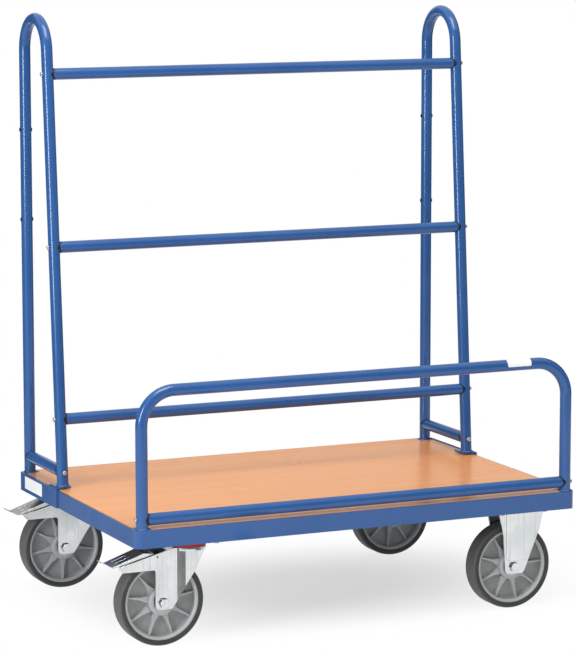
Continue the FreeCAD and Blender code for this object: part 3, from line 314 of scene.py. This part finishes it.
def zinc_fasteners():
    finish = Finish("zinc_fasteners")
    rounded, edge = finish.soft_edges(0.0007)
    space = finish.place()
    turning = finish.noise(space, 420.0, 3.0, 0.6)
    cloud = finish.noise(space, 60.0, 2.0, 0.5)
    plate = finish.blend(finish.ramp(cloud, 0.35, 0.65), shade(0.48, 0.49, 0.48), shade(0.62, 0.63, 0.61))
    bare = finish.blend(edge * 0.6, plate, shade(0.72, 0.73, 0.72))
    return finish.surface(
        Base_Color=bare, Metallic=0.9, Roughness=0.28 + 0.16 * turning,
        Normal=finish.bump(turning, 0.00008, rounded, strength=0.3))


def wheel_radius(finish):
    """Distance from the axle in the wheel's own plane, the same for the wheels of both ends."""
    space = finish.place()
    along = finish.math("ABSOLUTE", finish.axis(space, "X") - WHEEL_PLANE_MIDDLE) - WHEEL_PLANE_OFFSET
    above = finish.axis(space, "Z") - AXLE_HEIGHT
    return finish.math("SQRT", along * along + above * above)


def ground_steel():
    finish = Finish("ground_steel")
    rounded, edge = finish.soft_edges(0.0006)
    radius = wheel_radius(finish)
    rings = finish.math("SINE", radius * BEARING_RING_RATE)
    stain = finish.noise(finish.place(), 150.0, 3.0, 0.6)
    steel = finish.blend(finish.ramp(stain, 0.35, 0.7), shade(0.40, 0.41, 0.42), shade(0.52, 0.53, 0.53))
    bare = finish.blend(edge * 0.5, steel, shade(0.7, 0.7, 0.7))
    return finish.surface(
        Base_Color=bare, Metallic=0.95, Roughness=0.26 + 0.14 * stain,
        Normal=finish.bump(rings, 0.00002, rounded, strength=0.3))


def tyre_rubber():
    finish = Finish("tyre_rubber")
    rounded, edge = finish.soft_edges(0.0012)
    radius = wheel_radius(finish)
    space = finish.place()
    rings = finish.math("SINE", radius * TYRE_RING_RATE)
    grit = finish.noise(space, 300.0, 3.0, 0.6)
    smear = finish.noise(space, 22.0, 4.0, 0.65, 0.4)
    worn = finish.ramp(radius, *TREAD_WEAR_RADII)
    smeared = finish.ramp(smear, 0.35, 0.7)
    rubber = finish.blend(smeared, shade(0.036, 0.038, 0.039), shade(0.050, 0.052, 0.053))
    dusty = finish.blend(worn * (0.35 + 0.5 * smear), rubber, shade(0.125, 0.125, 0.123))
    rimmed = finish.blend(edge * 0.3, dusty, shade(0.09, 0.092, 0.093))
    height = 0.3 * rings + 0.7 * grit
    return finish.surface(
        Base_Color=rimmed, Roughness=0.50 + 0.2 * grit, Specular_IOR_Level=0.35,
        Normal=finish.bump(height, 0.00010, rounded, strength=0.3))


def grey_wheel_centre():
    finish = Finish("grey_wheel_centre")
    rounded, edge = finish.soft_edges(0.0010)
    radius = wheel_radius(finish)
    space = finish.place()
    speckle = finish.noise(space, 260.0, 3.0, 0.6)
    cloud = finish.noise(space, 30.0, 3.0, 0.6)
    rim_band = finish.ramp(radius, *RIM_BAND_RADII)
    web = finish.blend(finish.ramp(cloud, 0.3, 0.7), shade(0.232, 0.243, 0.243), shade(0.280, 0.291, 0.291))
    ringed = finish.blend(rim_band * 0.6, web, shade(0.325, 0.336, 0.336))
    speckled = finish.blend(finish.ramp(speckle, 0.58, 0.75, end=0.3), ringed, shade(0.325, 0.336, 0.336))
    across = finish.math("ABSOLUTE", finish.axis(space, "Y"))
    proud = finish.math("ABSOLUTE", across - WHEEL_MIDDLE_Y)
    # Painted highlight: the tops of the ribs, where a rib stands proud of the web, are painted paler.
    crest_highlight_mask = finish.ramp(proud, RIB_ROOT, RIB_CREST, end=0.75)
    rim_with_painted_crest_highlight = finish.blend(crest_highlight_mask, speckled, shade(0.42, 0.435, 0.435))
    # The edges get a painted highlight too.
    rim_with_painted_highlights = finish.blend(edge * 0.5, rim_with_painted_crest_highlight, shade(0.48, 0.50, 0.50))
    return finish.surface(
        Base_Color=rim_with_painted_highlights, Roughness=0.40 + 0.18 * speckle,
        Normal=finish.bump(speckle, 0.00012, rounded, strength=0.35))


def moulded_plastic(name, dark, pale, roughness, grain_scale):
    """Moulded plastic or rubber with a fine grain, a little paler where edges are rubbed."""
    finish = Finish(name)
    rounded, edge = finish.soft_edges(0.0008)
    space = finish.place()
    grain = finish.noise(space, grain_scale, 3.0, 0.55)
    cloud = finish.noise(space, 45.0, 3.0, 0.6)
    body = finish.blend(finish.ramp(cloud, 0.3, 0.75), dark, pale)
    rubbed = finish.blend(edge * 0.3, body, finish.blend(0.5, pale, shade(0.5, 0.5, 0.5)))
    return finish.surface(
        Base_Color=rubbed, Roughness=roughness + 0.15 * grain, Specular_IOR_Level=0.3,
        Normal=finish.bump(grain, 0.00009, rounded, strength=0.35))


def white_label():
    finish = Finish("white_label")
    space = finish.place()
    mottle = finish.noise(space, 120.0, 4.0, 0.6)
    fibre = finish.noise(space, 900.0, 2.0, 0.5)
    paper = finish.blend(finish.ramp(mottle, 0.35, 0.7), shade(0.80, 0.81, 0.82), shade(0.88, 0.885, 0.885))
    return finish.surface(
        Base_Color=paper, Roughness=0.34 + 0.12 * fibre, Normal=finish.bump(fibre, 0.00004, strength=0.25))


finishes = {
    "blue_paint": blue_powder_coat(),
    "beech_board": beech_laminate(),
    "zinc_steel": bright_zinc("bright_zinc"),
    "zinc_fastener": zinc_fasteners(),
    "bearing_steel": ground_steel(),
    "tyre_rubber": tyre_rubber(),
    "grey_rim": grey_wheel_centre(),
    "black_plastic": moulded_plastic(
        "black_plastic", shade(0.010, 0.010, 0.011), shade(0.018, 0.018, 0.019), 0.42, 500.0),
    "red_plastic": moulded_plastic(
        "red_plastic", shade(0.36, 0.014, 0.012), shade(0.45, 0.024, 0.020), 0.34, 420.0),
    "brake_rubber": moulded_plastic(
        "brake_rubber", shade(0.020, 0.020, 0.020), shade(0.036, 0.036, 0.036), 0.62, 350.0),
}
for subpart in frame["record"]["subparts"]:
    piece_mesh = nodes[subpart["node"]].data
    piece_mesh.materials.clear()
    piece_mesh.materials.append(finishes[subpart["material_slot"]])
# The brake pedals get zinc with a painted dark reflection on the faces that look up.
zinc_with_painted_dark_top = bright_zinc("zinc_with_painted_dark_top", painted_dark_top=0.9)
for castor in ("front_left", "rear_left"):
    nodes[castor + "_brake_pedal"].data.materials[0] = zinc_with_painted_dark_top


# Small pieces on the tubes and rails

def add_piece(name, mesh, material):
    """Close the mesh's seams, turn its faces outwards and let it ride with the chassis."""
    bmesh.ops.remove_doubles(mesh, verts=mesh.verts, dist=0.00001)
    bmesh.ops.recalc_face_normals(mesh, faces=mesh.faces)
    data = bpy.data.meshes.new(name)
    mesh.to_mesh(data)
    mesh.free()
    data.shade_smooth()
    data.set_sharp_from_angle(angle=SHARPEST_SMOOTH_ANGLE)
    data.materials.append(material)
    piece = bpy.data.objects.new(name, data)
    scene.collection.objects.link(piece)
    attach(piece, "chassis")


def turned(mesh, profile, steps, place):
    """Spin a profile of (radius, height) points about the upright axis and put the result in its place."""
    first = len(mesh.verts)
    corners = [mesh.verts.new((radius, 0.0, height)) for radius, height in profile]
    edges = [mesh.edges.new(pair) for pair in zip(corners, corners[1:])]
    bmesh.ops.spin(mesh, geom=corners + edges, cent=(0, 0, 0), axis=(0, 0, 1), dvec=(0, 0, 0),
                   angle=math.tau, steps=steps, use_merge=True, use_duplicate=False)
    mesh.verts.ensure_lookup_table()
    made = mesh.verts[first:]
    bmesh.ops.transform(mesh, matrix=place, verts=made)
    return made


def screw_buttons():
    """Rounded buttons with a socket, on the flat heads of the rail screws."""
    to_left = Matrix.Rotation(-math.pi / 2, 4, "Y")
    to_right = Matrix.Rotation(math.pi / 2, 4, "Y")
    to_front = Matrix.Rotation(math.pi / 2, 4, "X")
    to_back = Matrix.Rotation(-math.pi / 2, 4, "X")
    mesh = bmesh.new()
    for x, y, z in RAIL_SCREW_ENDS:
        facing = to_left if x < 0 else to_right
        turned(mesh, SCREW_OUTLINE, SCREW_STEPS, Matrix.Translation((x, y, z)) @ facing)
    for x in UPRIGHT_X:
        for y, facing in ((SPREADER_FRONT, to_front), (SPREADER_BACK, to_back)):
            turned(mesh, SCREW_OUTLINE, SCREW_STEPS, Matrix.Translation((x, y, SPREADER_HEIGHT)) @ facing)
    add_piece("screw_buttons", mesh, finishes["zinc_fastener"])


def weld_beads():
    """Rippled fillets round the feet of the hoop and the uprights."""
    inner = TUBE_RADIUS - WELD_SINK
    profile = [(inner, 0.0), (inner, WELD_HEIGHT)]
    profile += [(TUBE_RADIUS + share * WELD_REACH, height) for share, height in WELD_FACE]
    profile += [(inner, 0.0)]
    feet = [(x, HOOP_Y, RAIL_TOP) for x in HOOP_X]
    feet += [(x, REAR_LEG_Y, RAIL_TOP) for x in UPRIGHT_X]
    feet += [(x, FRONT_FOOT_Y, TAB_TOP) for x in UPRIGHT_X]
    mesh = bmesh.new()
    for foot in feet:
        made = turned(mesh, profile, WELD_STEPS, Matrix.Identity(4))
        for corner in made:
            radius = math.hypot(corner.co.x, corner.co.y)
            if radius > TUBE_RADIUS:
                wave = WELD_WAVE * math.sin(math.atan2(corner.co.y, corner.co.x) * WELD_RIPPLES)
                stretch = 1.0 + wave * (radius - TUBE_RADIUS) / radius
                corner.co.x *= stretch
                corner.co.y *= stretch
                corner.co.z *= 1.0 + wave
        bmesh.ops.translate(mesh, vec=foot, verts=made)
    add_piece("weld_beads", mesh, finishes["blue_paint"])


def label_sheet(width, height, corner):
    """Flat sheet with rounded corners, in the upright plane, with its lower left corner at the origin."""
    mesh = bmesh.new()
    bmesh.ops.create_grid(mesh, x_segments=1, y_segments=1, size=0.5)
    bmesh.ops.translate(mesh, vec=(0.5, 0.5, 0.0), verts=mesh.verts)
    bmesh.ops.scale(mesh, vec=(width, height, 1.0), verts=mesh.verts)
    bmesh.ops.bevel(mesh, geom=mesh.verts[:], offset=corner, offset_type="OFFSET", segments=4, profile=0.5,
                    affect="VERTICES", material=-1)
    raised = bmesh.ops.extrude_face_region(mesh, geom=mesh.faces[:])
    bmesh.ops.translate(mesh, vec=(0.0, 0.0, LABEL_THICKNESS),
                        verts=[item for item in raised["geom"] if isinstance(item, bmesh.types.BMVert)])
    return mesh


def bracket_label(material):
    """Bare plate on the rear part of the left foot bracket."""
    mesh = label_sheet(*BRACKET_LABEL_SIZE, BRACKET_LABEL_CORNER)
    facing_left = Matrix(((0, 0, -1, BRACKET_FACE_X),
                          (-1, 0, 0, BRACKET_LABEL_BACK),
                          (0, 1, 0, BRACKET_LABEL_BOTTOM),
                          (0, 0, 0, 1)))
    bmesh.ops.transform(mesh, matrix=facing_left, verts=mesh.verts)
    add_piece("bracket_label", mesh, material)


def hoop_label(material):
    """Bare label wrapped round the top of the hoop, near its right bend."""
    height = TUBE_RADIUS * HOOP_LABEL_WRAP
    mesh = label_sheet(HOOP_LABEL_LENGTH, height, HOOP_LABEL_CORNER)
    for strip in range(1, HOOP_LABEL_STRIPS):
        fold = height * strip / HOOP_LABEL_STRIPS
        bmesh.ops.bisect_plane(mesh, geom=mesh.verts[:] + mesh.edges[:] + mesh.faces[:],
                               plane_co=(0.0, fold, 0.0), plane_no=(0.0, 1.0, 0.0))
    for corner in mesh.verts:
        angle = HOOP_LABEL_START - corner.co.y / TUBE_RADIUS
        radius = TUBE_RADIUS + LABEL_GLUE + corner.co.z
        corner.co = (HOOP_LABEL_LEFT + corner.co.x,
                     HOOP_Y - radius * math.sin(angle),
                     HOOP_TOP_Z + radius * math.cos(angle))
    add_piece("hoop_label", mesh, material)


screw_buttons()
weld_beads()
label_paper = white_label()
bracket_label(label_paper)
hoop_label(label_paper)


# Studio: pale floor, white surroundings, soft lamps and sheets that only reflections show

def studio_sheet(name, width, depth, place, material):
    mesh = bmesh.new()
    bmesh.ops.create_grid(mesh, x_segments=4, y_segments=4, size=0.5)
    bmesh.ops.scale(mesh, vec=(width, depth, 1.0), verts=mesh.verts)
    bmesh.ops.transform(mesh, matrix=place, verts=mesh.verts)
    data = bpy.data.meshes.new(name)
    mesh.to_mesh(data)
    mesh.free()
    data.materials.append(material)
    sheet = bpy.data.objects.new(name, data)
    scene.collection.objects.link(sheet)
    return sheet


def pale_floor():
    """Floor that takes the shadow near the trolley and fades to white away from it."""
    finish = Finish("pale_floor")
    reach_x = 0.75
    reach_y = 0.5
    shift_x = -0.13
    shift_y = -0.12
    around = finish.place((1 / reach_x, 1 / reach_y, 1.0), (shift_x, shift_y, 0.0))
    away = finish.value(finish.vector_math("LENGTH", around), "Value")
    fade = finish.ramp(away, 0.2, 1.2, start=0.60)
    paint = finish.node("ShaderNodeBsdfDiffuse", None, {"Color": shade(0.92, 0.92, 0.92)})
    glow = finish.node("ShaderNodeEmission", None, {"Color": shade(1, 1, 1), "Strength": 1.0})
    shown = finish.mixed(finish.white_to_view() * fade, paint, glow)
    finish.node("ShaderNodeOutputMaterial", None, {"Surface": shown.outputs["Shader"]})
    return finish.material


def flag_cloth(name, tone):
    finish = Finish(name)
    return finish.surface(Base_Color=shade(tone, tone, tone), Roughness=0.9, Specular_IOR_Level=0.0)


def studio_world():
    world = bpy.data.worlds.new("studio_world")
    scene.world = world
    world.use_nodes = True
    sky = Nodes(world.node_tree)
    ambient = sky.node("ShaderNodeBackground", None, {"Color": shade(1, 1, 1), "Strength": 0.48})
    white = sky.node("ShaderNodeBackground", None, {"Color": shade(1, 1, 1), "Strength": 1.0})
    shown = sky.mixed(sky.white_to_view(), ambient, white)
    sky.node("ShaderNodeOutputWorld", None, {"Surface": shown.outputs["Shader"]})


def soft_lamp(name, position, target, size, watts):
    lamp = bpy.data.lights.new(name, "AREA")
    lamp.shape = "RECTANGLE"
    lamp.size, lamp.size_y = size
    lamp.energy = watts
    holder = bpy.data.objects.new(name, lamp)
    holder.location = position
    holder.rotation_euler = (Vector(target) - Vector(position)).to_track_quat("-Z", "Y").to_euler()
    scene.collection.objects.link(holder)


def reflected_flag(name, width, height, position, turn, material):
    """Upright sheet that only shows in the reflections of shiny pieces."""
    upright = Matrix.Rotation(math.radians(turn), 4, "Z") @ Matrix.Rotation(math.pi / 2, 4, "X")
    flag = studio_sheet(name, width, height, Matrix.Translation(position) @ upright, material)
    flag.visible_camera = False
    flag.visible_diffuse = False
    flag.visible_shadow = False


studio_sheet("studio_floor", 140.0, 140.0, Matrix.Identity(4), pale_floor())
dark_cloth = flag_cloth("dark_cloth", 0.06)
mid_cloth = flag_cloth("mid_cloth", 0.14)
grey_cloth = flag_cloth("grey_cloth", 0.72)
half_grey_cloth = flag_cloth("half_grey_cloth", 0.36)
reflected_flag("left_back_flag", 3.6, 3.0, (-1.75, 2.50, 1.5), 35.0, dark_cloth)
reflected_flag("left_low_flag", 0.95, 0.4, (-0.97, 1.14, 0.2), 24.5, mid_cloth)
reflected_flag("left_near_flag", 0.4, 0.24, (-0.83, 0.42, 0.12), 24.5, half_grey_cloth)
reflected_flag("left_flag", 1.9, 4.0, (-3.17, 0.45, 2.0), 82.0, dark_cloth)
reflected_flag("front_flag", 8.6, 4.0, (0.80, -3.00, 2.0), 0.0, dark_cloth)
reflected_flag("back_flag", 2.4, 3.0, (1.35, 2.95, 1.5), -24.5, grey_cloth)
reflected_flag("right_flag", 4.0, 3.0, (3.05, 0.80, 1.5), -75.0, dark_cloth)
reflected_flag("castor_flag", 0.28, 0.19, (-0.15, -0.54, 0.095), 90.0, mid_cloth)
studio_world()
soft_lamp("left_lamp", (-3.4, -1.6, 1.42), (0.0, 0.0, 0.9), (0.7, 1.70), 66.0)
soft_lamp("top_lamp", (-0.6, -1.3, 4.3), (0.0, 0.0, 0.3), (2.4, 2.4), 122.0)
soft_lamp("front_lamp", (-0.8, -4.8, 0.50), (0.0, 0.0, 0.3), (2.6, 0.9), 16.0)
scene.view_settings.view_transform = "Standard"


# Camera at the photograph's place

def photo_camera():
    back = Vector((math.sin(CAMERA_AZIMUTH) * math.cos(CAMERA_ELEVATION),
                   -math.cos(CAMERA_AZIMUTH) * math.cos(CAMERA_ELEVATION),
                   math.sin(CAMERA_ELEVATION)))
    lens = bpy.data.cameras.new("photo_camera")
    lens.lens = 170.53
    lens.sensor_width = 36.0
    lens.shift_x = -0.0321
    lens.shift_y = 0.0006
    lens.clip_end = 200.0
    camera = bpy.data.objects.new("photo_camera", lens)
    camera.location = CAMERA_TARGET + back * CAMERA_DISTANCE
    camera.rotation_euler = (-back).to_track_quat("-Z", "Y").to_euler()
    scene.collection.objects.link(camera)
    scene.camera = camera


photo_camera()
